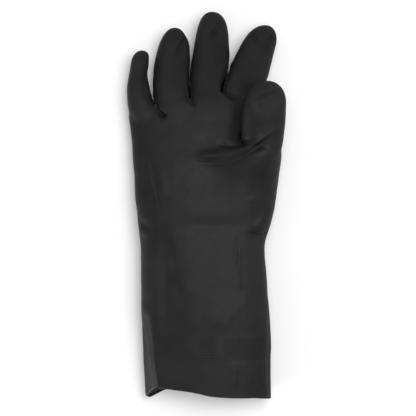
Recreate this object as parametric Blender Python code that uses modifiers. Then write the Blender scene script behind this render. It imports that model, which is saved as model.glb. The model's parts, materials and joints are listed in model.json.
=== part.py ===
"""A right-hand rubber insulating glove with a long gauntlet cuff, lying on its back, palm up.

The frame is in metres: +Y runs from the cuff's mouth to the fingertips, +Z out of the palm,
+X towards the thumb, and Z 0 is the surface that the glove lies on.
A glove is two skins, a rubber shell and a lining, dipped over one hand-shaped former.
Each skin is built here in zones: a shell and a lining over every part of the hand that stays
nearly rigid, and one bend zone, of both skins together, wherever the glove flexes.
"""

import math

import bmesh
import bpy
from mathutils import Vector

MM = 0.001
ORIGIN = Vector((0.0, 0.0, 0.0))

# Walls
SHELL_WALL = 1.0
LINING_WALL = 0.6
SKIN_GAP = 0.3  # between the shell and its lining
ZONE_GAP = 0.8  # between a bend zone and the shells at its ends
ROOT_GAP = 1.0  # between the palm's far wall and the digits' roots
BEND_WALL = SHELL_WALL + SKIN_GAP + LINING_WALL

# Gauntlet and palm
GLOVE_LENGTH = 360.0
MOUTH_Y = -GLOVE_LENGTH / 2.0
WRIST = Vector((-2.5, -21.5, 15.0))  # a point on the wrist's hinge line
WRIST_FLEX = 45.0
TABLE_SINK = 3.0  # how far the round underside is pressed flat by the table
SHOULDER_Y = 55.5  # where the thumb's root leaves the palm
SHOULDER_STEP = 1.6
SHOULDER_GATHER = 8.0
THENAR_LIFT = 24.0  # how far the thumb's side of the palm stands above the table
THENAR_FROM, THENAR_TO = 14.0, 56.0  # the stretch across X over which it rises

# Digits
HINGE_SLACK = 1.5  # half the width of a bend zone on its stretched side
FLEX_MARGIN = 3.0  # degrees that a bend zone stays open beyond its flex
FINGER_SIDES = 14
PALM_SIDES = 28
TRUNK_POWER = 2.3  # of the superellipse that the cuff and the palm are in section
TIP_RINGS = 4
CUTTER_REACH = 7.0
ROOT_STEPS = 8  # rounds of the search for the point where a digit meets the palm

# The palm's far end runs through the feet of the gaps between the fingers.
KNUCKLE_LINE = ((-74.0, 90.7), (-47.4, 92.5), (-14.9, 100.0), (14.0, 107.4), (44.5, 97.2))

# Each palm or cuff station: Y, left X, right X, height, lift of the thumb's side.
CUFF_STATIONS = (
    (-180.0, -57.7, 59.5, 47.0, 0.0),
    (-125.0, -59.0, 60.5, 47.0, 0.0),
    (-79.0, -60.5, 57.5, 46.0, 0.0),
    (-48.0, -60.5, 54.9, 44.0, 0.0),
    (-21.5, -62.0, 57.5, 42.0, 0.0),
)
PALM_STATIONS = (
    (-21.5, -62.0, 57.5, 42.0, 0.0),
    (1.0, -65.0, 64.0, 42.0, 5.5),
    (28.0, -66.5, 69.0, 40.0, 15.5),
)
SHOULDER_STATION = (SHOULDER_Y - SHOULDER_STEP, -69.5, 72.0, 36.5, THENAR_LIFT)
NARROW_STATION = (78.0, -71.5, 42.5, 34.0, 0.0)
KNUCKLE_STATION = (0.0, -73.5, 44.0, 31.0, 0.0)  # its Y follows the knuckle line

# Each digit: its joints and tip, then half width and half thickness at each of those points.
DIGITS = {
    "index": {
        "points": ((33.0, 107.8, 14.5), (40.9, 129.7, 16.0), (47.9, 148.8, 18.5), (54.4, 166.9, 22.5)),
        "sizes": ((16.2, 12.3), (16.6, 11.8), (14.8, 10.8), (12.5, 9.2)),
        "flex": (30.0, 70.0, 45.0),
    },
    "middle": {
        "points": ((0.5, 111.6, 14.5), (3.3, 137.2, 16.0), (5.1, 159.0, 18.5), (6.0, 180.4, 22.5)),
        "sizes": ((14.4, 12.5), (16.6, 12.0), (14.6, 11.0), (12.5, 9.4)),
        "flex": (45.0, 75.0, 45.0),
    },
    "ring": {
        "points": ((-31.7, 102.8, 14.5), (-33.0, 129.3, 16.0), (-30.9, 148.3, 18.5), (-29.3, 165.0, 22.0)),
        "sizes": ((15.8, 12.3), (16.2, 11.3), (13.9, 10.6), (12.0, 9.2)),
        "flex": (45.0, 70.0, 40.0),
    },
    "little": {
        "points": ((-61.4, 96.8, 14.0), (-63.3, 113.6, 15.5), (-62.9, 128.8, 18.5), (-60.0, 144.2, 22.5)),
        "sizes": ((12.2, 11.5), (9.9, 10.5), (9.0, 9.5), (7.8, 8.6)),
        "flex": (40.0, 55.0, 30.0),
    },
}
FINGER_ZONES = ("base", "middle", "tip")
THUMB_ZONES = ("base", "tip")
THUMB_POINTS = ((53.0, 64.5, 37.5), (54.8, 91.0, 46.0), (55.9, 115.8, 50.0))
THUMB_SIZES = ((17.8, 13.6), (19.4, 13.2), (15.5, 10.8))
THUMB_FLEX = (35.0, 50.0)  # the first swings the thumb out instead of bending it

BLACK_RUBBER = (0.028, 0.028, 0.030)
BEND_RUBBER = (0.034, 0.034, 0.036)
FLOCK = (0.075, 0.072, 0.070)


def clear_scene():
    """Removes whatever objects the open file holds."""
    for obj in list(bpy.data.objects):
        bpy.data.objects.remove(obj, do_unlink=True)


def new_collection(name):
    """A collection linked to the scene."""
    made = bpy.data.collections.new(name)
    bpy.context.scene.collection.children.link(made)
    return made


def new_material(name, colour, roughness):
    """A Principled material with one colour."""
    made = bpy.data.materials.new(name)
    made.use_nodes = True
    shader = made.node_tree.nodes["Principled BSDF"]
    shader.inputs["Base Color"].default_value = (*colour, 1.0)
    shader.inputs["Roughness"].default_value = roughness
    shader.inputs["Metallic"].default_value = 0.0
    made.diffuse_color = (*colour, 1.0)
    return made


def smoothstep(value, low, high):
    """0 below low, 1 above high, and a smooth rise between them."""
    t = min(max((value - low) / (high - low), 0.0), 1.0)
    return t * t * (3.0 - 2.0 * t)


def polyline_y(x, line):
    """The height of a polyline of (x, y) points at x, its end pieces running on."""
    for (x0, y0), (x1, y1) in zip(line, line[1:]):
        if x <= x1 or (x1, y1) == line[-1]:
            return y0 + (y1 - y0) * (x - x0) / (x1 - x0)


def oval(sides, half_width, half_height, power):
    """Points of a superellipse, anticlockwise from +u, with u across and v up."""
    points = []
    for k in range(sides):
        angle = 2.0 * math.pi * k / sides
        c, s = math.cos(angle), math.sin(angle)
        u = half_width * math.copysign(abs(c) ** (2.0 / power), c)
        v = half_height * math.copysign(abs(s) ** (2.0 / power), s)
        points.append((u, v))
    return points


def tube(sections, pole=None, cap_last=False):
    """A tube of quads through equal sections; a pole or a strip cap may close its far end."""
    mesh = bmesh.new()
    rings = [[mesh.verts.new(point * MM) for point in section] for section in sections]
    sides = len(rings[0])
    for near, far in zip(rings, rings[1:]):
        for i in range(sides):
            j = (i + 1) % sides
            mesh.faces.new((near[i], far[i], far[j], near[j]))
    last = rings[-1]
    if pole is not None:
        end = mesh.verts.new(pole * MM)
        for i in range(sides):
            mesh.faces.new((last[i], end, last[(i + 1) % sides]))
    if cap_last:
        # The section's points mirror each other in v, so upper and lower ones face in pairs.
        for i in range(sides // 2):
            corners = (last[i], last[-i], last[-i - 1], last[i + 1])
            mesh.faces.new(dict.fromkeys(corners))
    # Both sides of a wall are then split along the same diagonals, which keeps the gaps even.
    bmesh.ops.triangulate(mesh, faces=mesh.faces)
    mesh.verts.index_update()
    mesh.normal_update()
    return mesh


def add_object(name, shape, material, collection, pivot=ORIGIN):
    """Places a mesh as an object with its origin at its pivot."""
    mesh = bpy.data.meshes.new(name)
    bmesh.ops.translate(shape, verts=shape.verts, vec=-pivot * MM)
    shape.to_mesh(mesh)
    bmesh.ops.translate(shape, verts=shape.verts, vec=pivot * MM)
    obj = bpy.data.objects.new(name, mesh)
    obj.location = pivot * MM
    collection.objects.link(obj)
    if material is not None:
        mesh.materials.append(material)
    return obj


def add_skin(name, surface, depth, thickness, material, collection, pivot):
    """A smooth-shaded wall that lies at a depth under an open surface."""
    obj = add_object(name, surface, material, collection, pivot)
    obj.data.shade_smooth()
    obj.data.set_sharp_from_angle(angle=math.radians(50))
    solidify = obj.modifiers.new("wall", "SOLIDIFY")
    solidify.thickness = thickness * MM
    # At -1 the wall lies just under the surface; each -2 more sinks it by its own thickness.
    solidify.offset = -1.0 - 2.0 * depth / thickness
    solidify.use_even_offset = True
    return obj


def add_zone(name, surface, materials, collection, pivot=ORIGIN):
    """The shell and the lining under one surface."""
    shell_material, lining_material, _ = materials
    depth = SHELL_WALL + SKIN_GAP
    return (
        add_skin(f"{name}_shell", surface, 0.0, SHELL_WALL, shell_material, collection, pivot),
        add_skin(f"{name}_lining", surface, depth, LINING_WALL, lining_material, collection, pivot),
    )


def add_bend(name, sections, materials, collection, pivot=ORIGIN):
    """A bend zone: both skins together, between two edges."""
    add_skin(f"{name}_bend", tube(sections), 0.0, BEND_WALL, materials[2], collection, pivot)


def cut(obj, cutters):
    """Cuts obj with each cutter."""
    for cutter in cutters:
        boolean = obj.modifiers.new("cut_" + cutter.name, "BOOLEAN")
        boolean.operation = "DIFFERENCE"
        boolean.solver = "EXACT"
        boolean.object = cutter


def trunk_section(station, y_of=None):
    """One section of the cuff or palm; y_of gives a slanted section's Y from x and z."""
    y, left, right, height, lift = station
    half_height = (height + TABLE_SINK) / 2.0
    section = []
    for u, v in oval(PALM_SIDES, (right - left) / 2.0, half_height, TRUNK_POWER):
        x = (left + right) / 2.0 + u
        raised = lift * smoothstep(x, THENAR_FROM, THENAR_TO) * (v + half_height) / (2.0 * half_height)
        z = max(height - half_height + v, 0.0) + raised
        section.append(Vector((x, y if y_of is None else y_of(x, z), z)))
    return section


def shoulder_section():
    """The palm's section just past the shoulder, where it has narrowed beside the thumb.

    Its points keep the x of the section before it, save those that the shoulder's wall
    gathers in to the palm's new edge.
    """
    _, left, right, _, _ = NARROW_STATION
    y, outer_left, outer_right, height, _ = SHOULDER_STATION
    half_height = (height + TABLE_SINK) / 2.0
    edge, gather = right, right - SHOULDER_GATHER
    section = []
    for u, v in oval(PALM_SIDES, (outer_right - outer_left) / 2.0, half_height, TRUNK_POWER):
        x = (outer_left + outer_right) / 2.0 + u
        if x > gather:
            x = gather + (edge - gather) * math.sin(math.pi / 2.0 * (x - gather) / (outer_right - gather))
        share = min(abs(x - (left + right) / 2.0) / ((right - left) / 2.0), 1.0)
        rise = half_height * (1.0 - share**TRUNK_POWER) ** (1.0 / TRUNK_POWER)
        z = max(height - half_height + math.copysign(rise, v), 0.0)
        section.append(Vector((x, y + SHOULDER_STEP, z)))
    return section


def wrist_y(side, gap):
    """The slanted wrist end of the palm (side 1) or cuff (side -1), as a function of x and z."""
    slope = math.tan(math.radians((WRIST_FLEX + FLEX_MARGIN) / 2.0))
    return lambda x, z: WRIST.y + side * (gap + HINGE_SLACK + slope * max(z - WRIST.z, 0.0))


def mouth_y(x, z):
    """The cuff's free edge: its upper side is drawn back a little at the little finger's side."""
    return MOUTH_Y + 8.0 * smoothstep(z, 8.0, 36.0) * smoothstep(-x, -10.0, 45.0)


def build_cuff(materials, collection):
    """The gauntlet, from its mouth to the wrist, and the wrist's bend zone."""
    sections = [trunk_section(CUFF_STATIONS[0], mouth_y)]
    sections += [trunk_section(station) for station in CUFF_STATIONS[1:-1]]
    sections.append(trunk_section(CUFF_STATIONS[-1], wrist_y(-1, 0.0)))
    add_zone("cuff", tube(sections), materials, collection, WRIST)
    ends = [trunk_section(CUFF_STATIONS[-1], wrist_y(side, -ZONE_GAP)) for side in (-1, 1)]
    add_bend("wrist", ends, materials, collection)


def build_palm(materials, collection, cutters):
    """The palm, from the wrist to the knuckles, with a hole into each digit."""
    sections = [trunk_section(PALM_STATIONS[0], wrist_y(1, 0.0))]
    sections += [trunk_section(station) for station in (*PALM_STATIONS[1:], SHOULDER_STATION)]
    sections += [shoulder_section(), trunk_section(NARROW_STATION)]
    sections.append(trunk_section(KNUCKLE_STATION, lambda x, z: polyline_y(x, KNUCKLE_LINE)))
    for palm in add_zone("palm", tube(sections, cap_last=True), materials, collection):
        cut(palm, cutters)


class Digit:
    """A finger or thumb: phalanges between joints, with oval sections."""

    def __init__(self, points, sizes, flex):
        self.points = [Vector(p) for p in points]
        self.sizes = sizes
        self.flex = flex
        up = Vector((0.0, 0.0, 1.0))
        self.ways = [(b - a).normalized() for a, b in zip(self.points, self.points[1:])]
        self.across = [way.cross(up).normalized() for way in self.ways]
        self.palmar = [side.cross(way).normalized() for side, way in zip(self.across, self.ways)]

    def place(self, k, u, v, s):
        """The point at u across, v up and s along phalanx k."""
        return self.points[k] + self.across[k] * u + self.palmar[k] * v + self.ways[k] * s

    def length(self, k):
        """The length of phalanx k."""
        return (self.points[k + 1] - self.points[k]).length

    def size(self, k, share):
        """The half width and half height at a share of phalanx k, which tapers evenly."""
        share = min(max(share, 0.0), 1.0)
        return [a + (b - a) * share for a, b in zip(self.sizes[k], self.sizes[k + 1])]

    def section(self, k, end, along):
        """Phalanx k's oval at its near end (0) or far end (1), at the distance along(u, v)."""
        width, height = self.sizes[k + end]
        placed = []
        for u, v in oval(FINGER_SIDES, width, height, 2.3):
            s = along(u, v)
            w, h = self.size(k, s / self.length(k))
            placed.append(self.place(k, u * w / width, v * h / height, s))
        return placed

    def tip(self, start_share):
        """The sections and pole of the rounded end of the last phalanx."""
        k = len(self.ways) - 1
        length = self.length(k)
        half_width, half_height = self.size(k, start_share)
        rings = []
        for ring in range(1, TIP_RINGS + 1):
            angle = math.radians(90.0) * ring / (TIP_RINGS + 1)
            grown = math.cos(angle)
            reach = length * (start_share + (1.0 - start_share) * math.sin(angle))
            size = oval(FINGER_SIDES, half_width * grown, half_height * grown, 2.1)
            rings.append([self.place(k, u, v, reach) for u, v in size])
        return rings, self.place(k, 0.0, 0.0, length)

    def wedge(self, joint, side, gap, swing=False):
        """How far along from a joint its bend zone's edge lies, as a function of u and v.

        The zone is a wedge about the plane halfway between the two phalanges. It opens on the
        side that is squeezed: the palm's side when the digit bends, and the thumb's outer side
        when it swings out.
        """
        k = joint - 1 if side < 0 else joint
        way, across, palmar = self.ways[k], self.across[k], self.palmar[k]
        halfway = (self.ways[max(joint - 1, 0)] + self.ways[joint]).normalized()
        slope = math.tan(math.radians((self.flex[joint] + FLEX_MARGIN) / 2.0))
        start = self.length(k) if side < 0 else 0.0

        def along(u, v):
            tilt = -(u * across.dot(halfway) + v * palmar.dot(halfway)) / way.dot(halfway)
            return start + tilt + side * (HINGE_SLACK + gap + slope * max(u if swing else v, 0.0))

        return along


def root_edge(digit, gap, line):
    """Where a digit starts at the palm: the distance along it that meets the line's Y."""

    def along(u, v):
        reach = 0.0
        for _ in range(ROOT_STEPS):
            foot = digit.place(0, u, v, reach)
            reach += (line(foot.x) + gap - foot.y) / digit.ways[0].y
        return reach

    return along


def build_digit(name, zones, digit, line, swing, tip_share, materials, collection):
    """One digit: a bend zone at each joint, and a shell and a lining for each of its zones."""
    last = len(zones) - 1
    for k, zone in enumerate(zones):
        turned = swing and k == 0
        if k == 0:
            near = digit.section(0, 0, root_edge(digit, ROOT_GAP, line))
        else:
            near = digit.section(k - 1, 1, digit.wedge(k, -1, -ZONE_GAP))
        far = digit.section(k, 0, digit.wedge(k, 1, -ZONE_GAP, turned))
        held_at = digit.points[k - 1] if k else ORIGIN
        add_bend(f"{name}_{zone}", [near, far], materials, collection, held_at)
        sections = [digit.section(k, 0, digit.wedge(k, 1, 0.0, turned))]
        pole = None
        if k == last:
            rings, pole = digit.tip(tip_share)
            sections += rings
        else:
            sections.append(digit.section(k, 1, digit.wedge(k + 1, -1, 0.0)))
        add_zone(f"{name}_{zone}", tube(sections, pole), materials, collection, digit.points[k])


def knuckle_line(x):
    """The Y of the palm's far end at x."""
    return polyline_y(x, KNUCKLE_LINE)


def shoulder_line(x):
    """The Y of the palm's shoulder, which the thumb leaves."""
    return SHOULDER_Y


def digit_cutter(name, digit, line, collection):
    """A hidden oval bar through the palm's wall, as wide as the digit is inside."""
    inside = [(w - BEND_WALL - ZONE_GAP, h - BEND_WALL - ZONE_GAP) for w, h in digit.sizes[:2]]
    bar = Digit(digit.points[:2], inside, digit.flex)
    reaches = (-CUTTER_REACH, CUTTER_REACH)
    shape = tube([bar.section(0, 0, root_edge(bar, reach, line)) for reach in reaches])
    bmesh.ops.holes_fill(shape, edges=shape.edges, sides=0)
    bmesh.ops.recalc_face_normals(shape, faces=shape.faces)
    obj = add_object(f"{name}_hole", shape, None, collection)
    obj.hide_render = True
    obj.display_type = "WIRE"
    return obj


def main():
    clear_scene()
    glove = new_collection("insulating_glove")
    helpers = new_collection("cutters")
    materials = (
        new_material("black_rubber", BLACK_RUBBER, 0.55),
        new_material("cotton_flock", FLOCK, 0.95),
        new_material("black_rubber_bend", BEND_RUBBER, 0.6),
    )
    fingers = {
        name: Digit(shape["points"], shape["sizes"], shape["flex"]) for name, shape in DIGITS.items()
    }
    thumb = Digit(THUMB_POINTS, THUMB_SIZES, THUMB_FLEX)
    cutters = [digit_cutter(name, digit, knuckle_line, helpers) for name, digit in fingers.items()]
    cutters.append(digit_cutter("thumb", thumb, shoulder_line, helpers))
    build_cuff(materials, glove)
    build_palm(materials, glove, cutters)
    for name, digit in fingers.items():
        build_digit(name, FINGER_ZONES, digit, knuckle_line, False, 0.3, materials, glove)
    build_digit("thumb", THUMB_ZONES, thumb, shoulder_line, True, 0.25, materials, glove)


main()
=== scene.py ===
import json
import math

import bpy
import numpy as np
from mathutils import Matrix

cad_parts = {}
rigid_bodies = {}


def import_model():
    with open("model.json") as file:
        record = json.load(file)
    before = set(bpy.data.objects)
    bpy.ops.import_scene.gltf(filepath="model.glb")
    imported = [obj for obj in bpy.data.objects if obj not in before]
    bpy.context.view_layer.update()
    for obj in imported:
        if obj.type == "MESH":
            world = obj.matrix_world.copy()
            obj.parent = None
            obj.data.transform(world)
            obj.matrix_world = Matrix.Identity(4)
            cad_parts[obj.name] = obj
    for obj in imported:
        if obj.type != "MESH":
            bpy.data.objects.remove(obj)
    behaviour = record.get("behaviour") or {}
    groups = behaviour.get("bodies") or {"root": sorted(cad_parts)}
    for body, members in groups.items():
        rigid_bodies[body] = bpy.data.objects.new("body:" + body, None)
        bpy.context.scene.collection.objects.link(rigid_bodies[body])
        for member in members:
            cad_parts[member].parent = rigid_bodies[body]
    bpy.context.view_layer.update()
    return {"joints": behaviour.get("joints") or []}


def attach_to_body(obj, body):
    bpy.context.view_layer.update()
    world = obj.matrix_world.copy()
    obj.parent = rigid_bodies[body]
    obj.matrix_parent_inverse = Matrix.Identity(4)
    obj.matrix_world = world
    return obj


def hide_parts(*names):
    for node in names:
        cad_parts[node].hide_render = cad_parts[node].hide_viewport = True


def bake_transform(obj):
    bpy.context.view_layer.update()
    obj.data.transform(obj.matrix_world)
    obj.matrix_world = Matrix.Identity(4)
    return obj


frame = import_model()

# A black rubber insulating glove lying on its back, palm up, seen from straight above.
#
# The rubber is one skin. Its shape is a distance field on a grid, in millimetres: flattened tubes
# for the cuff and palm, the fingers and the thumb, joined smoothly. The field's surface becomes a
# mesh, folds and dents are then pressed into that mesh, and it is cut into pieces along the lines
# where the joints bend, each with a wall thickness. A flock lining is made from the same field.

import openvdb
from mathutils import Vector
from mathutils.bvhtree import BVHTree

MM = 0.001

# ---------------------------------------------------------------- the grid

VOXEL = 0.95
LOW = (-80.0, -190.0, -4.0)
HIGH = (80.0, 186.0, 64.0)
SIDES = [np.arange(low, high, VOXEL) for low, high in zip(LOW, HIGH)]
X, Y, Z = (
    SIDES[0][:, None, None],
    SIDES[1][None, :, None],
    SIDES[2][None, None, :],
)


def ramp(value, low, high):
    """0 below low, 1 above high, and a smooth rise between them."""
    t = np.clip((value - low) / (high - low), 0.0, 1.0)
    return t * t * (3.0 - 2.0 * t)


def column(stations, index, blur):
    """One column of a table of stations, read at every Y of the grid and softened along it."""
    ys = SIDES[1]
    table = np.array(stations, float)
    reach = np.arange(-4.0 * blur, 4.0 * blur + VOXEL, VOXEL)
    kernel = np.exp(-0.5 * (reach / blur) ** 2)
    kernel /= kernel.sum()
    wide = np.arange(ys[0] + reach[0], ys[-1] - reach[0] + 2 * VOXEL, VOXEL)
    values = np.interp(wide, table[:, 0], table[:, index])
    return np.convolve(values, kernel, "same")[np.searchsorted(wide, ys - 1e-6)][None, :, None]


def smooth_min(a, b, k):
    """The lower of two fields, with a fillet about k wide where they meet."""
    h = np.clip(0.5 + 0.5 * (b - a) / k, 0.0, 1.0)
    return b + (a - b) * h - k * h * (1.0 - h)


def smooth_max(a, b, k):
    """The higher of two fields, with a rounding about k wide where they meet."""
    return -smooth_min(-a, -b, k)


def oval_tube(left, right, low, high, power, raise_by=0.0, cap=None):
    """Distance to a tube along Y whose section is a superellipse between four limits.

    raise_by lifts the section's upper side most, as a share of its height. cap is the Y where
    the tube's round end begins and the Y where it closes.
    """
    stretch = 1.0 + raise_by / (high - low)
    z = (Z - low) / stretch + low
    half, tall = (right - left) / 2.0, (high - low) / 2.0
    u = np.abs(X - (left + right) / 2.0) / half
    v = np.abs(z - (low + high) / 2.0) / tall
    c = np.zeros_like(Y) if cap is None else np.maximum(Y - cap[0], 0.0) / (cap[1] - cap[0])
    total = np.maximum((u**power + v**power + c**power) ** (1.0 / power), 1e-3)
    steep = (u / total) ** (2 * power - 2) / half**2
    steep = steep + (v / total) ** (2 * power - 2) / (tall * stretch) ** 2
    if cap is not None:
        steep = steep + (c / total) ** (2 * power - 2) / (cap[1] - cap[0]) ** 2
    return (total - 1.0) / np.sqrt(steep)


# ---------------------------------------------------------------- the shape

TABLE_SINK = 3.0  # how far the round underside is pressed flat by the table

# Y, left X, right X, height, and how far the thumb's side is lifted
TRUNK = (
    (-195.0, -57.6, 60.0, 45.5, 0.0),
    (-160.0, -58.0, 60.5, 45.5, 0.0),
    (-125.0, -59.3, 60.6, 46.0, 0.0),
    (-98.0, -60.0, 59.2, 46.0, 0.0),
    (-75.0, -60.4, 57.0, 45.5, 0.0),
    (-52.0, -60.5, 55.2, 44.5, 0.0),
    (-36.0, -60.6, 55.0, 43.0, 0.0),
    (-27.0, -61.8, 56.6, 42.0, 0.0),
    (-16.0, -63.4, 61.0, 42.0, 0.0),
    (-3.0, -65.0, 63.8, 42.0, 2.5),
    (12.0, -66.0, 65.8, 41.0, 6.0),
    (30.0, -66.8, 68.4, 39.5, 12.5),
    (44.0, -68.0, 70.2, 38.0, 20.0),
    (54.0, -68.8, 71.0, 36.0, 21.5),
    (61.0, -69.2, 54.0, 35.0, 4.0),
    (72.0, -70.6, 49.0, 33.0, 0.0),
    (84.0, -72.5, 48.0, 30.6, 0.0),
    (96.0, -73.6, 49.0, 29.0, 0.0),
    (110.0, -73.6, 50.0, 28.0, 0.0),
)
THENAR = (4.0, 58.0)  # the stretch across X over which the thumb's side rises
KNUCKLES = ((-75.0, 90.0), (-48.0, 90.5), (-14.9, 97.5), (14.0, 105.0), (44.0, 101.0))

# Y, left X, right X, lowest Z, highest Z, for each finger and below for the thumb
FINGERS = {
    "little": (
        (70.0, -66.0, -46.0, 3.0, 26.0),
        (90.0, -72.6, -49.0, 3.0, 28.2),
        (103.0, -74.0, -51.3, 3.6, 27.0),
        (112.0, -73.9, -52.8, 4.4, 26.0),
        (120.0, -72.9, -54.6, 5.8, 26.2),
        (127.0, -71.6, -54.3, 8.0, 27.4),
        (134.0, -69.9, -52.2, 10.5, 28.8),
        (146.0, -67.5, -50.4, 14.0, 31.5),
    ),
    "ring": (
        (70.0, -47.5, -12.0, 3.0, 31.0),
        (104.0, -48.5, -12.4, 3.0, 29.0),
        (116.0, -50.0, -15.4, 3.5, 28.0),
        (130.0, -49.3, -15.2, 4.6, 27.5),
        (141.0, -46.5, -15.1, 6.0, 28.2),
        (152.0, -43.2, -15.6, 8.5, 29.5),
        (166.0, -40.5, -17.5, 13.5, 32.5),
    ),
    "middle": (
        (74.0, -17.6, 16.6, 3.0, 31.0),
        (104.0, -17.6, 17.6, 3.0, 29.2),
        (118.0, -15.2, 20.4, 3.4, 28.4),
        (131.0, -13.6, 22.8, 4.0, 28.0),
        (142.0, -11.8, 22.2, 5.4, 28.6),
        (156.0, -9.9, 21.3, 8.0, 29.8),
        (169.0, -8.4, 20.6, 11.0, 31.4),
        (182.0, -7.4, 20.0, 14.5, 33.6),
    ),
    "index": (
        (74.0, 6.0, 38.0, 3.0, 29.0),
        (98.0, 9.6, 47.0, 3.0, 28.4),
        (110.0, 12.2, 53.0, 3.2, 27.6),
        (121.0, 15.4, 58.3, 4.0, 27.2),
        (130.0, 22.2, 60.3, 4.8, 27.6),
        (141.0, 27.6, 63.0, 6.2, 28.4),
        (152.0, 33.4, 65.8, 8.6, 29.6),
        (168.0, 41.0, 69.0, 13.0, 32.0),
    ),
}
# The Y where each tip's rounding starts, and where it closes; THUMB_CAP is the thumb's
CAPS = {
    "little": (131.0, 143.8),
    "ring": (146.0, 165.6),
    "middle": (157.0, 180.2),
    "index": (149.0, 167.8),
}
FINGER_FOOT = 74.0  # the fingers' tubes start at this Y, inside the palm
THUMB = (
    (36.0, 31.0, 66.0, 20.0, 45.0),
    (50.0, 32.0, 69.4, 21.5, 48.5),
    (64.0, 32.4, 71.6, 24.0, 51.2),
    (78.0, 32.6, 72.8, 28.0, 54.8),
    (92.0, 33.8, 73.4, 32.8, 57.8),
    (104.0, 36.6, 73.0, 36.4, 59.6),
    (118.0, 39.5, 72.0, 39.5, 61.0),
)
THUMB_CAP = (94.0, 113.8)
THUMB_FOOT = 36.0  # the thumb's tube starts at this Y, inside the palm
THUMB_START = 50.0  # what lies below this Y is palm, not thumb
THUMB_WHOLE = 64.0  # past this Y the palm's strokes leave the thumb alone
THUMB_FREE = 61.0  # past this Y the thumb stays clear of the palm
THUMB_CLEARANCE = 1.2  # half the width of the gap there

# How square the sections of the tubes are: 2 is an ellipse
TRUNK_POWER = 2.5
DIGIT_POWER = 2.3

# The flat wall on the little finger's side, which widens towards the mouth
FACET_CORNER = (-51.6, 38.5)  # X and Z
FACET_TILT = 27.5
FACET_TURNS = -108.0  # the Y past which the corner moves in, towards the mouth
FACET_FADES = -68.0  # the Y by which the wall has left the glove, towards the hand
FACET_INSET = 5.6  # how far the corner has moved in, FACET_RUN past its turn
FACET_RUN = 62.0
FACET_LEAVES = 20.0  # how far the corner has moved out where the wall has left

# The gaps between touching fingers: the fingers, the Y where the gap starts, and X and Y along it
SLOT_HALF = 0.6
SLOT_KNEE = 13.0  # below this height the gap leans, so that it can't be seen through from above
SLOT_LEAN = 0.5
SLOT_WIDENING = 0.08
SLOT_CLOSING = 1.5  # how fast the gap closes before its start
SLOT_ROUNDING = (1.2, 0.8)  # of the fingers' edges and of the foot of the gap
SLOTS = (
    (
        ("little", "ring"),
        94.0,
        ((-47.6, 80.0), (-48.6, 94.0), (-51.6, 110.0), (-52.4, 146.0)),
    ),
    (
        ("ring", "middle"),
        99.0,
        ((-14.9, 80.0), (-15.0, 100.0), (-16.2, 117.0), (-14.6, 131.0), (-13.0, 160.0)),
    ),
    (
        ("middle", "index"),
        105.0,
        ((14.6, 90.0), (14.9, 108.0), (15.9, 114.0), (21.4, 127.0), (24.5, 150.0)),
    ),
)


def slot_middle(line, y, z):
    """The X of the middle of the gap between two fingers."""
    across, up = np.array(line).T
    return np.interp(y, up, across) + SLOT_LEAN * np.maximum(SLOT_KNEE - z, 0.0)


def slot_room(start):
    """Half the width of the gap that starts at a Y; below 0 there is no gap."""
    half = SLOT_HALF + SLOT_WIDENING * np.maximum(SLOT_KNEE - Z, 0.0)
    return np.where(Y > start, half, half - SLOT_CLOSING * (start - Y))


def build_fields():
    """The distance fields of the whole glove, of the hand without its thumb, and of the thumb."""
    left, right, height, lift = (column(TRUNK, i, 4.0) for i in range(1, 5))
    lifted = lift * ramp(X, *THENAR)
    trunk = oval_tube(left, right, -TABLE_SINK, height, TRUNK_POWER, lifted)
    tilt = math.radians(FACET_TILT)
    corner = FACET_CORNER[0] + FACET_INSET * np.clip((FACET_TURNS - Y) / FACET_RUN, 0.0, 1.3)
    corner = corner - FACET_LEAVES * ramp(Y, FACET_TURNS, FACET_FADES)
    facet = (corner - X) * math.cos(tilt) + (Z - FACET_CORNER[1]) * math.sin(tilt)
    trunk = smooth_max(trunk, facet, 1.2)
    knuckles = np.interp(SIDES[0], *np.array(KNUCKLES).T)[:, None, None]
    palm = smooth_max(trunk, Y - knuckles, 9.0)

    digits = {}
    for name, stations in FINGERS.items():
        limits = (column(stations, i, 3.5) for i in range(1, 5))
        digits[name] = oval_tube(*limits, DIGIT_POWER, 0.0, CAPS[name])
    for (lower, upper), start, line in SLOTS:
        middle, room = slot_middle(line, Y, Z), slot_room(start)
        digits[lower] = smooth_max(digits[lower], X - middle + room, SLOT_ROUNDING[0])
        digits[upper] = smooth_max(digits[upper], middle + room - X, SLOT_ROUNDING[0])

    # The fingers join the palm with a fillet that is widest at the webs and narrow at the outline
    hand = palm
    inward = 1.0 - 0.75 * ramp(-X, 56.0, 68.0)
    fillet = 0.2 + (8.0 * ramp(Y, 72.0, 94.0) - 4.0 * ramp(Y, 96.0, 112.0)) * inward
    for name in FINGERS:
        hand = smooth_min(hand, np.maximum(digits[name], FINGER_FOOT - Y), fillet)
    for _, start, line in SLOTS:
        away = np.abs(X - slot_middle(line, Y, Z))
        hand = smooth_max(hand, slot_room(start) - away, SLOT_ROUNDING[1])

    limits = (column(THUMB, i, 4.0) for i in range(1, 5))
    thumb = np.maximum(oval_tube(*limits, DIGIT_POWER, 0.0, THUMB_CAP), THUMB_FOOT - Y)
    inward = 1.0 - 0.8 * ramp(X, 57.0, 68.0)
    fillet = 0.2 + 7.0 * ramp(Y, 33.0, 50.0) * (1.0 - ramp(Y, 50.0, 62.0)) * inward
    joined = smooth_min(hand, thumb, fillet)
    gap = np.where(Y > THUMB_FREE, THUMB_CLEARANCE - np.maximum(hand, thumb), -9.0)
    whole = smooth_max(np.maximum(joined, gap), -Z, 1.5)
    return whole.astype(np.float32), hand, thumb


# ---------------------------------------------------------------- meshes as arrays


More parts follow.
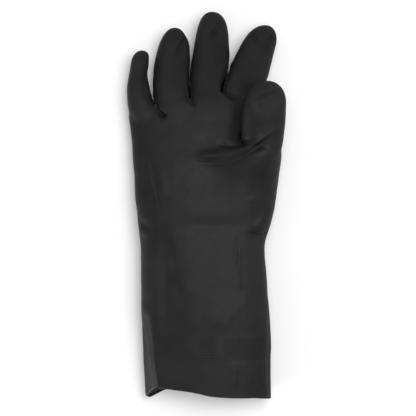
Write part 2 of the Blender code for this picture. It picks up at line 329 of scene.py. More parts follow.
def surface(field, level, voxel):
    """The vertices (mm) and quads of a field's surface at a level."""
    grid = openvdb.FloatGrid(background=float(field.max()))
    grid.copyFromArray(np.ascontiguousarray(field))
    points, quads = grid.convertToQuads(isovalue=level)
    points = points.astype(float) * voxel + np.array(LOW)
    return points, quads.astype(int)


def vertex_normals(points, quads):
    """Unit normals at the vertices, weighted by area."""
    a, b, c, d = (points[quads[:, i]] for i in range(4))
    face = np.cross(c - a, d - b)
    normals = np.zeros_like(points)
    for i in range(4):
        for axis in range(3):
            normals[:, axis] += np.bincount(quads[:, i], face[:, axis], len(points))
    return normals / np.maximum(np.linalg.norm(normals, axis=1), 1e-9)[:, None]


def relaxed(points, quads, rounds, strength=0.5):
    """The points, each moved towards the mean of its neighbours."""
    near = np.concatenate([quads[:, i] for i in range(4)] * 2)
    after = [quads[:, (i + 1) % 4] for i in range(4)]
    before = [quads[:, i - 1] for i in range(4)]
    far = np.concatenate(after + before)
    count = np.bincount(near, minlength=len(points))[:, None]
    for _ in range(rounds):
        mean = np.stack([np.bincount(near, points[far, axis], len(points)) for axis in range(3)], 1)
        points = points + strength * (mean / np.maximum(count, 1) - points)
    return points


def sampled(field, points):
    """A field's values at points, from the eight grid points around each."""
    place = (points - np.array(LOW)) / VOXEL
    corner = np.clip(np.floor(place).astype(int), 0, np.array(field.shape) - 2)
    share = place - corner
    total = 0.0
    for step in np.ndindex(2, 2, 2):
        weight = np.prod(np.where(step, share, 1.0 - share), axis=1)
        i, j, k = (corner + step).T
        total = total + weight * field[i, j, k]
    return total


# ---------------------------------------------------------------- folds and dents

# Each stroke: what it is pressed into, its height (below 0 it is a groove), its widths on the left
# and the right of its direction at its start and at its end, how sharp it is (CREASE or SOFT), and
# its points in X and Y.
CREASE, SOFT = 1, 2
STROKES = (
    # The roll of rubber between the thumb and the palm, and the dark folds around it
    ("all", 3.0, (4.2, 3.0), (4.2, 3.0), SOFT, (
        (-12.0, 45.0), (8.0, 46.4), (24.0, 48.4), (38.0, 53.4), (54.0, 63.0),
    )),
    ("all", 1.8, (1.7, 1.0), (2.0, 1.0), CREASE, (
        (-18.0, 44.2), (8.0, 43.6), (24.0, 45.4), (38.0, 51.2), (52.0, 60.4), (70.0, 74.0),
    )),
    ("hand", -2.2, (3.0, 2.0), (3.0, 2.0), SOFT, ((9.0, 57.0), (20.0, 55.4), (30.0, 57.0), (38.0, 63.0))),
    ("all", -2.2, (1.3, 4.5), (1.3, 4.5), CREASE, (
        (-14.0, 39.6), (12.0, 38.8), (30.0, 42.6), (46.0, 53.6), (62.0, 68.0),
    )),
    ("hand", -0.7, (4.0, 4.0), (4.0, 4.0), SOFT, ((-4.0, 66.0), (3.0, 54.0), (7.0, 44.0))),
    # The hollow beside the thumb
    ("hand", -5.8, (14.0, 12.5), (14.0, 9.0), SOFT, (
        (37.5, 122.0), (37.0, 84.0), (35.0, 66.0), (31.5, 48.0),
    )),
    # Feet of the gaps between the fingers
    ("hand", -4.2, (1.8, 1.8), (2.2, 1.8), CREASE, (
        (-48.0, 97.0), (-45.0, 88.4), (-41.0, 83.4), (-36.0, 81.4),
    )),
    ("hand", -3.0, (1.8, 1.8), (2.0, 1.8), CREASE, (
        (-16.2, 112.0), (-15.8, 101.0), (-13.0, 95.0), (-8.4, 91.6),
    )),
    ("hand", -1.0, (3.4, 3.4), (3.0, 3.0), SOFT, ((-23.4, 117.0), (-20.2, 108.0))),
    ("hand", -2.4, (2.2, 2.2), (2.2, 2.2), SOFT, ((-44.6, 88.4), (-37.0, 82.0))),
    ("hand", 2.4, (1.2, 1.6), (1.2, 1.5), CREASE, (
        (12.8, 115.0), (11.4, 106.4), (18.6, 99.8), (30.0, 94.0),
    )),
    ("hand", 1.8, (1.1, 1.1), (1.1, 1.1), CREASE, ((15.4, 107.0), (21.6, 102.4), (31.0, 98.0))),
    ("hand", -2.8, (1.2, 1.2), (1.4, 1.4), CREASE, ((13.6, 109.0), (20.0, 101.0), (29.6, 95.4))),
    ("hand", -1.6, (2.4, 2.4), (2.2, 2.2), SOFT, (
        (22.8, 133.0), (19.2, 121.6), (15.9, 113.6), (14.4, 102.0),
    )),
    # Dents in the fingers, most of them at the tips
    ("hand", -2.6, (2.8, 2.2), (3.8, 2.8), SOFT, ((15.0, 172.0), (4.0, 154.0))),
    ("hand", -2.8, (3.0, 2.6), (3.8, 3.0), SOFT, ((64.0, 160.0), (51.0, 142.0))),
    ("hand", -2.0, (2.4, 2.4), (2.8, 2.8), SOFT, ((42.0, 161.0), (48.0, 149.0))),
    ("hand", -2.8, (3.0, 2.6), (3.8, 3.0), SOFT, ((-16.4, 157.0), (-28.0, 137.0))),
    ("hand", -1.5, (3.5, 3.0), (3.5, 3.0), SOFT, ((-58.0, 124.0), (-55.6, 98.0))),
    ("hand", -0.8, (3.0, 3.0), (3.0, 3.0), SOFT, ((-45.0, 141.0), (-46.0, 112.0))),
    # The flat facet at the thumb's tip
    ("thumb", -2.1, (5.0, 8.0), (4.6, 7.0), SOFT, ((40.0, 92.0), (54.0, 96.0), (68.0, 103.0))),
    ("thumb", 1.0, (3.0, 2.4), (3.0, 2.4), SOFT, ((44.0, 100.0), (57.0, 104.6), (68.0, 109.0))),
    # Folds down the palm
    ("hand", -2.0, (2.0, 12.0), (2.0, 9.0), SOFT, (
        (-54.5, 50.0), (-52.4, 26.0), (-46.8, 4.0), (-45.0, -16.0),
    )),
    ("hand", 0.7, (5.0, 5.0), (5.0, 5.0), SOFT, ((-44.0, 38.0), (-38.0, 8.0))),
    ("hand", -0.8, (6.0, 6.0), (6.0, 6.0), SOFT, ((48.0, 30.0), (41.0, 4.0))),
    # The wrist
    ("hand", -0.8, (6.0, 4.4), (6.0, 4.4), SOFT, (
        (-66.0, -15.6), (-30.0, -17.6), (8.0, -18.6), (44.0, -17.0),
    )),
    ("hand", -0.7, (3.4, 4.0), (3.4, 3.6), SOFT, ((-68.0, -11.0), (-57.0, -17.6), (-44.0, -26.0))),
    ("hand", 0.8, (3.6, 3.6), (3.6, 3.6), SOFT, ((-70.0, -19.0), (-50.0, -28.0))),
    ("hand", -2.6, (1.3, 3.4), (1.3, 2.4), CREASE, ((38.0, -25.6), (48.0, -27.4), (60.0, -24.0))),
    ("hand", 1.2, (4.4, 4.4), (4.0, 4.0), SOFT, ((62.0, 4.0), (55.0, -10.0), (44.0, -23.0))),
    ("hand", -0.6, (4.0, 4.0), (4.0, 4.0), SOFT, ((44.0, 8.0), (46.0, -8.0), (49.0, -20.0))),
    # The gauntlet
    ("hand", -3.8, (4.0, 9.0), (30.0, 20.0), SOFT, (
        (-37.4, -18.0), (-36.6, -66.0), (-36.0, -112.0), (-36.0, -230.0),
    )),
    ("hand", 0.9, (1.3, 1.3), (1.3, 1.3), CREASE, ((31.6, -36.0), (29.4, -58.0), (31.0, -80.0))),
    ("hand", -0.8, (1.2, 2.4), (1.2, 2.2), CREASE, ((30.0, -24.0), (27.4, -44.0), (27.0, -58.0))),
    ("hand", 0.3, (4.0, 4.0), (4.0, 4.0), SOFT, ((33.0, -78.0), (36.6, -94.0))),
    ("hand", 0.7, (9.0, 9.0), (9.0, 9.0), SOFT, ((-4.0, -98.0), (26.0, -110.0))),
    ("hand", -0.6, (10.0, 9.0), (10.0, 9.0), SOFT, ((6.0, -112.0), (32.0, -119.0), (56.0, -112.0))),
    ("hand", 0.4, (2.6, 2.6), (2.6, 2.6), SOFT, ((26.6, -144.0), (25.6, -168.0))),
    ("hand", -0.9, (0.8, 1.0), (0.8, 1.0), CREASE, ((57.0, -92.0), (58.4, -120.0), (58.0, -182.0))),
    # The corner of the wall on the little finger's side, which shows near the mouth
    ("hand", 0.7, (1.6, 1.0), (1.8, 1.0), CREASE, ((-57.4, -104.0), (-52.6, -136.0), (-46.6, -186.0))),
)


def stroke_height(points, stroke):
    """How far one stroke moves each point."""
    _, height, start_widths, end_widths, sharpness, line = stroke
    way = np.array(line, float)
    steps = np.diff(way, axis=0)
    lengths = np.linalg.norm(steps, axis=1)
    before = np.concatenate([[0.0], np.cumsum(lengths)])
    best = np.full(len(points), 1e9)
    along, side = np.zeros(len(points)), np.zeros(len(points))
    for i, (foot, step) in enumerate(zip(way, steps)):
        away = points[:, :2] - foot
        t = np.clip(away @ step / lengths[i] ** 2, 0.0, 1.0)
        off = away - t[:, None] * step
        distance = np.linalg.norm(off, axis=1)
        nearer = distance < best
        best[nearer] = distance[nearer]
        along[nearer] = (before[i] + t * lengths[i])[nearer] / before[-1]
        side[nearer] = (step[0] * off[:, 1] - step[1] * off[:, 0])[nearer]
    row = np.where(side > 0, 0, 1)
    widths = np.array(start_widths)[row] * (1.0 - along) + np.array(end_widths)[row] * along
    fade = ramp(along, -0.02, 0.25) * (1.0 - ramp(along, 0.75, 1.02))
    return height * fade * np.exp(-((best / widths) ** sharpness))


def waves(points, seed, size, count=14):
    """Smooth unevenness, mostly between -1 and 1, whose ripples are about size wide."""
    random = np.random.default_rng(seed)
    total = 0.0
    for _ in range(count):
        direction = random.normal(size=3)
        direction /= np.linalg.norm(direction) * size * random.uniform(0.7, 1.6)
        total = total + np.sin(2.0 * math.pi * points @ direction + random.uniform(0.0, 6.3))
    return total / math.sqrt(count)


def pressed(points, quads, thumb_share):
    """The points with the folds, dents and unevenness of used rubber."""
    soft = relaxed(points, quads, 6)
    normals = vertex_normals(soft, quads)
    up = ramp(normals[:, 2], 0.1, 0.5)  # strokes leave upright walls and the underside alone
    moved = np.zeros(len(points))
    for stroke in STROKES:
        where = {"hand": 1.0 - thumb_share, "thumb": thumb_share, "all": 1.0}[stroke[0]]
        moved += stroke_height(points, stroke) * where * up
    moved += 0.24 * waves(points, 3, 34.0) + 0.09 * waves(points, 5, 13.0)
    shaped = points + normals * moved[:, None]
    shaped[:, 2] = np.maximum(shaped[:, 2], 0.0)
    return shaped


# ---------------------------------------------------------------- where the skin bends

JOINT = {joint["name"]: joint for joint in frame["joints"]}


def spot(name):
    """A joint's place, in millimetres."""
    return np.array(JOINT[name]["pos_m"]) * 1000.0


def unit(vector):
    """The vector at length 1."""
    return vector / np.linalg.norm(vector)


class Bend:
    """A stretch of skin that turns with a joint, from one body to the next."""

    def __init__(self, joint, way, start, end):
        self.bodies = (JOINT[joint]["parent"], JOINT[joint]["child"])
        self.way = unit(np.array(way, float))
        self.start = spot(joint) + self.way * start
        self.end = spot(joint) + self.way * end

    def along(self, points):
        """How far past the bend's start each point lies."""
        return (points - self.start) @ self.way

    def past(self, points):
        """How far past the bend's end each point lies."""
        return (points - self.end) @ self.way


# Each finger's tip, then the start and end of its bends, as distances from the joint along the finger
TIPS = {
    "little": (-60.0, 144.2, 22.5),
    "ring": (-29.3, 165.0, 22.0),
    "middle": (6.0, 180.4, 22.5),
    "index": (54.4, 166.9, 22.5),
}
ROOT_BENDS = {"little": (0.5, 11.5), "ring": (-1.0, 14.0), "middle": (-1.5, 14.0), "index": (-4.0, 10.0)}
MIDDLE_BENDS = {"little": (-3.6, 5.0), "ring": (-8.5, 8.0), "middle": (-9.0, 9.0), "index": (-8.5, 8.5)}
TIP_BENDS = {"little": (-4.6, 4.6), "ring": (-7.0, 7.0), "middle": (-8.0, 8.0), "index": (-8.0, 8.0)}

# The pieces of a finger and of the thumb, and the CAD parts that each stands for
FINGER_ZONES = {"root": "base", "knuckle": "middle", "end": "tip"}
THUMB_ZONES = {"root": "base", "end": "tip"}


def finger_bends(name):
    """The three bends of a finger, from its root."""
    joints = [f"{name}_{part}_flex" for part in FINGER_ZONES.values()]
    spots = [spot(joint) for joint in joints] + [np.array(TIPS[name])]
    ways = [unit(far - near) for near, far in zip(spots, spots[1:])]
    return (
        Bend(joints[0], ways[0], *ROOT_BENDS[name]),
        Bend(joints[1], ways[0] + ways[1], *MIDDLE_BENDS[name]),
        Bend(joints[2], ways[1] + ways[2], *TIP_BENDS[name]),
    )


WRIST_BEND = Bend("wrist_flex", (0.0, -1.0, 0.0), -26.0, 26.0)
THUMB_WAY = spot("thumb_tip_flex") - spot("thumb_swing")
THUMB_BENDS = (
    Bend("thumb_swing", THUMB_WAY, -7.0, 13.0),
    Bend("thumb_tip_flex", THUMB_WAY, -9.0, 9.0),
)
MARGIN = 1.6  # a piece's edge stays this far outside a bend, where the skin no longer turns
FINGERS_FROM = 80.0  # what lies below this Y is palm, not finger


def finger_lane(points):
    """Which finger's lane each point lies in, from 0 for the little finger."""
    lane = np.zeros(len(points), int)
    for _, _, line in SLOTS:
        lane += points[:, 0] > slot_middle(line, points[:, 1], points[:, 2])
    return lane


def sort_faces(centres, lane, thumb_near):
    """A number for the piece that each face belongs to, and the names of the pieces."""
    names = ["palm", "wrist", "cuff"]
    piece = (WRIST_BEND.along(centres) > -MARGIN).astype(int) + (WRIST_BEND.past(centres) > MARGIN)
    for k, finger in enumerate(FINGERS):
        mine = (lane == k) & (centres[:, 1] > FINGERS_FROM) & ~thumb_near
        for bend, zone in zip(finger_bends(finger), FINGER_ZONES):
            names.append(f"{finger}_{zone}")
            piece[mine & (bend.along(centres) > -MARGIN)] = len(names) - 1
    for bend, zone in zip(THUMB_BENDS, THUMB_ZONES):
        names.append(f"thumb_{zone}")
        piece[thumb_near & (bend.along(centres) > -MARGIN)] = len(names) - 1
    return piece, names


BENDS = {"wrist": WRIST_BEND, "thumb_root": THUMB_BENDS[0], "thumb_end": THUMB_BENDS[1]}
for finger in FINGERS:
    for bend, zone in zip(finger_bends(finger), FINGER_ZONES):
        BENDS[f"{finger}_{zone}"] = bend


# ---------------------------------------------------------------- Blender objects

collection = bpy.data.collections.new("visual")
bpy.context.scene.collection.children.link(collection)

EDGE_SLANT = 0.5  # how far the cut edge's inner side stands out past its outer side


def open_edges(quads, total):
    """The starts and ends of the edges that only one quad has, of total points."""
    starts, ends = quads.ravel(), np.roll(quads, -1, axis=1).ravel()
    single = ~np.isin(starts * total + ends, ends * total + starts)
    return starts[single], ends[single]


def wall_piece(name, points, quads, normals, wall, materials, mouth=None):
    """A piece of skin with thickness: its outer side, its inner side, and a rim round its edges.

    quads are the piece's own; mouth marks the points on the cuff's free edge. The materials are
    the outer side's, the inner side's and the free edge's, or one for all.
    """
    used = np.unique(quads)
    local = np.full(len(points), -1)
    local[used] = np.arange(len(used))
    outer = points[used]
    inner = outer - normals[used] * wall
    if mouth is not None:
        inner[mouth[used], 1] -= EDGE_SLANT
    inner[:, 2] = np.maximum(inner[:, 2], wall * 0.6)
    faces = local[quads]
    count = len(used)

    a, b = open_edges(faces, count)
    rim = np.stack([b, a, a + count, b + count], axis=1)

    every = np.concatenate([faces, faces[:, ::-1] + count, rim])
    corners = np.concatenate([outer, inner])
    mesh = bpy.data.meshes.new(name)
    mesh.vertices.add(len(corners))
    mesh.vertices.foreach_set("co", (corners * MM).astype(np.float32).ravel())
    mesh.loops.add(every.size)
    mesh.loops.foreach_set("vertex_index", every.ravel().astype(np.int32))
    mesh.polygons.add(len(every))
    mesh.polygons.foreach_set("loop_start", np.arange(0, every.size, 4, dtype=np.int32))
    mesh.update(calc_edges=True)

    side = np.concatenate([normals[used], -normals[used]])
    loop_normals = side[every]
    p, q, r, s = (corners[rim[:, i]] for i in range(4))
    flat = np.cross(r - p, s - q)
    flat /= np.maximum(np.linalg.norm(flat, axis=1), 1e-9)[:, None]
    loop_normals[len(faces) * 2 :] = flat[:, None, :]
    mesh.polygons.foreach_set("use_smooth", np.ones(len(every), bool))
    mesh.normals_split_custom_set(loop_normals.reshape(-1, 3).tolist())
    for material in materials:
        mesh.materials.append(material)
    slots = np.zeros(len(every), np.int32)
    slots[len(faces) : len(faces) * 2] = min(1, len(materials) - 1)
    if mouth is not None and len(materials) > 2:
        cut = mouth[used[a]] & mouth[used[b]]
        slots[len(faces) * 2 :][cut] = 2
    mesh.polygons.foreach_set("material_index", slots)
    mesh.validate()
    piece = bpy.data.objects.new(name, mesh)
    collection.objects.link(piece)
    return piece


# ---------------------------------------------------------------- materials

GRIP_PITCH = 0.00125  # metres, half the distance between two grooves of the grip


def new_material(name):
    """A material, its nodes and links, and its shader."""
    material = bpy.data.materials.new(name)
    material.use_nodes = True
    nodes, links = material.node_tree.nodes, material.node_tree.links
    return material, nodes, links, nodes["Principled BSDF"]


def noise(nodes, links, where, scale, detail=4.0, roughness=0.55):
    """A noise texture's strength at a place."""
    node = nodes.new("ShaderNodeTexNoise")
    node.inputs["Scale"].default_value = scale
    node.inputs["Detail"].default_value = detail
    node.inputs["Roughness"].default_value = roughness
    links.new(where, node.inputs["Vector"])
    return node.outputs["Fac"]


def mapped(nodes, links, value, low, high, to_low, to_high):
    """A value carried from one range to another, and held inside it."""
    node = nodes.new("ShaderNodeMapRange")
    for socket, number in zip(("From Min", "From Max", "To Min", "To Max"), (low, high, to_low, to_high)):
        node.inputs[socket].default_value = number
    links.new(value, node.inputs["Value"])
    return node.outputs["Result"]


def computed(nodes, links, operation, *values):
    """A Math node over sockets and numbers."""
    node = nodes.new("ShaderNodeMath")
    node.operation = operation
    for socket, value in zip(node.inputs, values):
        if isinstance(value, (int, float)):
            socket.default_value = value
        else:
            links.new(value, socket)
    return node.outputs[0]


def diamond_pattern(nodes, links, where, pitch):
    """A lattice of small pyramids across X and Y, from 0 in its grooves to 1 on its points."""
    split = nodes.new("ShaderNodeSeparateXYZ")
    links.new(where, split.inputs[0])
    heights = []
    for sign in (1.0, -1.0):
        slanted = computed(nodes, links, "MULTIPLY", split.outputs["Y"], sign * 0.8)
        diagonal = computed(nodes, links, "ADD", split.outputs["X"], slanted)
        steps = computed(nodes, links, "DIVIDE", diagonal, pitch)
        heights.append(computed(nodes, links, "PINGPONG", steps, 1.0))
    lowest = computed(nodes, links, "MINIMUM", *heights)
    return computed(nodes, links, "MINIMUM", lowest, 0.7)


def rubber_material():
    """Matte black dipped rubber, faintly mottled, with a fine diamond grip on the palm's side."""
    material, nodes, links, shader = new_material("black_rubber")
    coordinates = nodes.new("ShaderNodeTexCoord").outputs["Object"]

    cloudy = noise(nodes, links, coordinates, 28.0, 5.0)
    speckled = noise(nodes, links, coordinates, 420.0, 3.0)
    blend = nodes.new("ShaderNodeMix")
    blend.data_type = "RGBA"
    blend.inputs["A"].default_value = (0.0065, 0.0066, 0.0072, 1.0)
    blend.inputs["B"].default_value = (0.0105, 0.0105, 0.0114, 1.0)
    links.new(mapped(nodes, links, cloudy, 0.35, 0.68, 0.0, 1.0), blend.inputs["Factor"])
    links.new(blend.outputs["Result"], shader.inputs["Base Color"])
    rough = computed(
        nodes,
        links,
        "ADD",
        mapped(nodes, links, cloudy, 0.3, 0.7, 0.51, 0.60),
        mapped(nodes, links, speckled, 0.3, 0.7, -0.03, 0.03),
    )
    links.new(rough, shader.inputs["Roughness"])
    shader.inputs["Specular IOR Level"].default_value = 0.19

    facing = nodes.new("ShaderNodeSeparateXYZ")
    links.new(nodes.new("ShaderNodeNewGeometry").outputs["Normal"], facing.inputs[0])
    upward = mapped(nodes, links, facing.outputs["Z"], 0.35, 0.7, 0.0, 1.0)
    split = nodes.new("ShaderNodeSeparateXYZ")
    links.new(coordinates, split.inputs[0])
    on_fingers = mapped(nodes, links, split.outputs["Y"], 0.07, 0.13, 0.03, 0.9)
    grip = diamond_pattern(nodes, links, coordinates, GRIP_PITCH)
    grip = computed(nodes, links, "MULTIPLY", grip, on_fingers)
    grip = computed(nodes, links, "MULTIPLY", grip, upward)
    first = nodes.new("ShaderNodeBump")
    first.inputs["Strength"].default_value = 0.9
    first.inputs["Distance"].default_value = 0.0008
    links.new(grip, first.inputs["Height"])
    second = nodes.new("ShaderNodeBump")
    second.inputs["Strength"].default_value = 0.25
    second.inputs["Distance"].default_value = 0.0002
    links.new(speckled, second.inputs["Height"])
    links.new(first.outputs["Normal"], second.inputs["Normal"])
    links.new(second.outputs["Normal"], shader.inputs["Normal"])
    return material


def edge_material():
    """The cut edge of the rubber, brownish where the black skin ends."""
    material, nodes, links, shader = new_material("cut_rubber_edge")
    coordinates = nodes.new("ShaderNodeTexCoord").outputs["Object"]
    blend = nodes.new("ShaderNodeMix")
    blend.data_type = "RGBA"
    blend.inputs["A"].default_value = (0.050, 0.038, 0.028, 1.0)
    blend.inputs["B"].default_value = (0.120, 0.094, 0.070, 1.0)
    grain = noise(nodes, links, coordinates, 160.0, 4.0)
    links.new(mapped(nodes, links, grain, 0.35, 0.65, 0.0, 1.0), blend.inputs["Factor"])
    links.new(blend.outputs["Result"], shader.inputs["Base Color"])
    links.new(mapped(nodes, links, grain, 0.3, 0.7, 0.55, 0.8), shader.inputs["Roughness"])
    return material


def flock_material():
    """Short dark cotton fibres glued to the inside."""
    material, nodes, links, shader = new_material("cotton_flock")
    coordinates = nodes.new("ShaderNodeTexCoord").outputs["Object"]
    fibres = noise(nodes, links, coordinates, 900.0, 6.0, 0.7)
    patches = noise(nodes, links, coordinates, 60.0, 3.0)
    blend = nodes.new("ShaderNodeMix")
    blend.data_type = "RGBA"
    blend.inputs["A"].default_value = (0.022, 0.021, 0.021, 1.0)
    blend.inputs["B"].default_value = (0.060, 0.057, 0.054, 1.0)
    mixed = computed(nodes, links, "MULTIPLY", mapped(nodes, links, fibres, 0.3, 0.7, 0.2, 1.0), patches)
    links.new(mapped(nodes, links, mixed, 0.1, 0.6, 0.0, 1.0), blend.inputs["Factor"])
    links.new(blend.outputs["Result"], shader.inputs["Base Color"])
    links.new(mapped(nodes, links, fibres, 0.3, 0.7, 0.85, 1.0), shader.inputs["Roughness"])
    shader.inputs["Sheen Weight"].default_value = 0.25
    bump = nodes.new("ShaderNodeBump")
    bump.inputs["Strength"].default_value = 0.6
    bump.inputs["Distance"].default_value = 0.0004
    links.new(fibres, bump.inputs["Height"])
    links.new(bump.outputs["Normal"], shader.inputs["Normal"])
    return material


RUBBER = rubber_material()
EDGE = edge_material()
FLOCK = flock_material()

# ---------------------------------------------------------------- the rubber skin

RUBBER_WALL = 1.3

# X and Y along the cuff's free edge, on its upper side and on its lower side
UPPER_EDGE = (
    (-60.0, -168.0), (-47.0, -167.4), (-36.0, -168.6), (-17.0, -170.4), (-6.0, -172.2),
    (3.0, -174.4), (12.0, -175.4), (24.0, -176.2), (45.0, -176.6), (61.0, -178.4),
)
LOWER_EDGE = (
    (-62.0, -180.0), (-54.0, -179.8), (-40.0, -173.6),
    (-30.0, -172.0), (30.0, -175.0), (61.0, -180.0),
)
MOUTH_END = -140.0  # the free edge lies wholly below this Y


def mouth_line(points):
    """The Y of the cuff's free edge, its upper side drawn back at the little finger's side."""
    x, z = points[:, 0], points[:, 2]
    upper = np.interp(x, *np.array(UPPER_EDGE).T)
    lower = np.interp(x, *np.array(LOWER_EDGE).T)
    return lower + (upper - lower) * ramp(z, 6.0, 36.0)


def trimmed(points, quads):
    """The skin without what lies beyond the mouth, its edge moved onto the mouth's line.

    Quads at a point where the edge would touch itself are left out too.
    """
    line = mouth_line(points)
    centres = points[quads].mean(axis=1)
    kept = quads[centres[:, 1] > line[quads].mean(axis=1)]
    while True:
        starts, ends = open_edges(kept, len(points))
        pinched = np.bincount(starts, minlength=len(points)) > 1
        if not pinched.any():
            break
        kept = kept[~pinched[kept].any(axis=1)]
    edge = np.zeros(len(points), bool)
    edge[starts] = True
    edge[ends] = True
    edge &= points[:, 1] < MOUTH_END
    points = points.copy()
    points[edge, 1] += 0.97 * (line[edge] - points[edge, 1])  # just short, so that no two points meet
    return points, kept, edge


def thumb_part(points):
    """Whether each point is the thumb's, and how much of it is, which rises from the thumb's root."""
    nearer = sampled(thumb_field, points) < sampled(hand_field, points)
    mine = nearer & (points[:, 1] > THUMB_START)
    return mine, mine * ramp(points[:, 1], THUMB_START, THUMB_WHOLE)


whole_field, hand_field, thumb_field = build_fields()
skin, skin_quads = surface(whole_field, 0.0, VOXEL)
plain_skin = relaxed(skin, skin_quads, 3)
is_thumb, thumb_share = thumb_part(plain_skin)
skin = pressed(plain_skin, skin_quads, thumb_share)
skin = relaxed(skin, skin_quads, 1, 0.35)
skin[:, 2] = np.maximum(skin[:, 2], 0.0)
skin, skin_quads, mouth = trimmed(skin, skin_quads)
skin_normals = vertex_normals(skin, skin_quads)

NODES = {"cuff": ["cuff_shell"], "wrist": ["wrist_bend"], "palm": ["palm_shell"]}
for finger in FINGERS:
    for zone, part in FINGER_ZONES.items():
        NODES[f"{finger}_{zone}"] = [f"{finger}_{part}_shell", f"{finger}_{part}_bend"]
for zone, part in THUMB_ZONES.items():
    NODES[f"thumb_{zone}"] = [f"thumb_{part}_shell", f"thumb_{part}_bend"]


def attach(piece, name):
    """Lets a piece ride on its body; a piece at a bend only has its transform baked into its mesh."""
    bend = BENDS.get(name)
    if bend is None:
        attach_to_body(piece, {"palm": "hand", "cuff": "cuff"}[name])
        return
    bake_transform(piece)


def make_skin():
    """The rubber's pieces."""
    centres = skin[skin_quads].mean(axis=1)
    near = is_thumb[skin_quads].all(axis=1)
    lane = finger_lane(plain_skin[skin_quads].mean(axis=1))
    kind, names = sort_faces(centres, lane, near)
    for number, name in enumerate(names):
        own = skin_quads[kind == number]
        materials = [RUBBER, RUBBER, EDGE]
        piece = wall_piece(f"{name}_rubber", skin, own, skin_normals, RUBBER_WALL, materials, mouth)
        attach(piece, name)
        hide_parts(*NODES[name])


make_skin()

# ---------------------------------------------------------------- the lining

LINING_DEPTH = 1.9
LINING_WALL = 0.8
LINING_SETBACK = np.array((0.0, 2.5, 0.0))  # how far inside the mouth the lining ends


def make_lining():
    """The flock lining's pieces, coarser, since only its mouth can be seen."""
    coarse = whole_field[::2, ::2, ::2]
    points, quads = surface(coarse, -LINING_DEPTH, 2.0 * VOXEL)
    plain = relaxed(points, quads, 2)
    close, share = thumb_part(plain)
    points = pressed(plain, quads, share)
    points[:, 2] = np.maximum(points[:, 2], LINING_DEPTH)
    points, quads, _ = trimmed(points - LINING_SETBACK, quads)
    points = points + LINING_SETBACK
    normals = vertex_normals(points, quads)
    centres = points[quads].mean(axis=1)
    lane = finger_lane(plain[quads].mean(axis=1))
    kind, names = sort_faces(centres, lane, close[quads].all(axis=1))
    for number, name in enumerate(names):
        own = quads[kind == number]
        piece = wall_piece(f"{name}_flock", points, own, normals, LINING_WALL, [FLOCK])
        attach(piece, name)
        if name != "wrist":
            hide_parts(NODES[name][0].replace("_shell", "_lining"))


make_lining()

# ---------------------------------------------------------------- raised patches on the cuff

top = BVHTree.FromPolygons([Vector(p) for p in skin], skin_quads.tolist())


def on_top(x, y, lift):
    """The point of the upper skin at x and y, raised by lift."""
    hit, _, _, _ = top.ray_cast(Vector((x, y, 90.0)), Vector((0.0, 0.0, -1.0)))
    return hit + Vector((0.0, 0.0, lift))


def patch_piece(name, solids):
    """Several small closed solids as one piece on the cuff; each is points and faces."""
    points, faces = [], []
    for own_points, own_faces in solids:
        faces += [[index + len(points) for index in face] for face in own_faces]
        points += own_points
    mesh = bpy.data.meshes.new(name)
    mesh.from_pydata([point * MM for point in points], [], faces)
    mesh.materials.append(RUBBER)
    piece = bpy.data.objects.new(name, mesh)
    collection.objects.link(piece)
    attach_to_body(piece, "cuff")
    return piece


BAR_ROOT = 0.8  # how far a bar's foot lies inside the skin
STUD_ROOT = 0.5


def bar(x0, x1, y, half, lift):
    """A low flat-topped bar along X that follows the skin."""
    points, faces, steps = [], [], 8
    for k in range(steps + 1):
        x = x0 + (x1 - x0) * k / steps
        for dy, dz in ((-half, -BAR_ROOT), (-half * 0.6, lift), (half * 0.6, lift), (half, -BAR_ROOT)):
            points.append(on_top(x, y + dy, dz))
    for k in range(steps):
        a, b = 4 * k, 4 * k + 4
        for i in range(4):
            j = (i + 1) % 4
            faces.append((a + i, b + i, b + j, a + j))
    faces.append((0, 1, 2, 3))
    last = 4 * steps
    faces.append((last + 3, last + 2, last + 1, last))
    return points, faces


def stud(x, y, half, lift):
    """A low pyramid, a diamond seen from above."""
    corners = ((half, 0.0), (0.0, half), (-half, 0.0), (0.0, -half))
    foot = [on_top(x + dx, y + dy, -STUD_ROOT) for dx, dy in corners]
    points = foot + [on_top(x, y, lift)]
    faces = [(i, (i + 1) % 4, 4) for i in range(4)] + [(3, 2, 1, 0)]
    return points, faces


BAR_ROWS, BAR_PITCH = 8, 2.75
STUD_ROWS, STUD_COLUMNS = 14, 15
STUD_PITCH = (2.8, 1.45)

bars = [bar(-5.6, 8.6, -121.4 - BAR_PITCH * row, 0.9, 0.55) for row in range(BAR_ROWS)]
studs = []
for row in range(STUD_ROWS):
    for place in range(STUD_COLUMNS):
        x = 16.8 + STUD_PITCH[0] * (place + 0.5 * (row % 2))
        studs.append(stud(x, -122.4 - STUD_PITCH[1] * row, 1.25, 0.65))
patch_piece("cuff_grip_bars", bars)
patch_piece("cuff_grip_studs", studs)

# ---------------------------------------------------------------- camera, light and floor

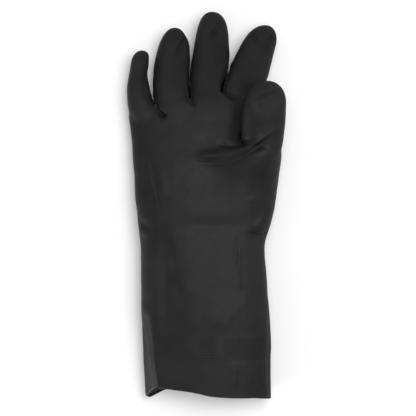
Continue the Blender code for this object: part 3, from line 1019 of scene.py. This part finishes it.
VIEW_CENTRE = Vector((0.0019, -0.0023, 0.0))
VIEW_WIDTH = 0.387
VIEW_HEIGHT = 1.32
MIDDLE_HEIGHT = 0.022  # the height at which the view is VIEW_WIDTH wide
SENSOR = 36.0

camera_data = bpy.data.cameras.new("camera")
camera_data.sensor_width = SENSOR
camera_data.lens = SENSOR * (VIEW_HEIGHT - MIDDLE_HEIGHT) / VIEW_WIDTH
camera = bpy.data.objects.new("camera", camera_data)
camera.location = VIEW_CENTRE + Vector((0.0, 0.0, VIEW_HEIGHT))
bpy.context.scene.collection.objects.link(camera)
bpy.context.scene.camera = camera


def area_light(name, place, size, power, target=(0.0, 0.0, 0.02)):
    """A square soft light that faces the glove."""
    light = bpy.data.lights.new(name, "AREA")
    light.size = size
    light.energy = power
    lamp = bpy.data.objects.new(name, light)
    lamp.location = place
    lamp.rotation_euler = (Vector(target) - Vector(place)).to_track_quat("-Z", "Y").to_euler()
    bpy.context.scene.collection.objects.link(lamp)


area_light("overhead", (0.36, 0.3, 1.75), 1.2, 25.0)
area_light("side_left", (-0.75, -0.5, 0.16), 0.25, 4.0)
area_light("side_right", (1.5, 0.2, 0.6), 0.6, 4.0)

world = bpy.data.worlds.new("studio")
world.use_nodes = True
world.node_tree.nodes["Background"].inputs["Color"].default_value = (1.0, 1.0, 1.0, 1.0)
world.node_tree.nodes["Background"].inputs["Strength"].default_value = 0.45
bpy.context.scene.world = world
bpy.context.scene.view_settings.view_transform = "Standard"

floor_mesh = bpy.data.meshes.new("floor")
floor_mesh.from_pydata([(-6, -6, 0), (6, -6, 0), (6, 6, 0), (-6, 6, 0)], [], [(0, 1, 2, 3)])
floor = bpy.data.objects.new("floor", floor_mesh)
floor.location.z = -0.0005
bpy.context.scene.collection.objects.link(floor)
floor_material, _, _, floor_shader = new_material("pale_floor")
floor_shader.inputs["Base Color"].default_value = (0.9, 0.9, 0.9, 1.0)
floor_shader.inputs["Roughness"].default_value = 0.9
floor_mesh.materials.append(floor_material)
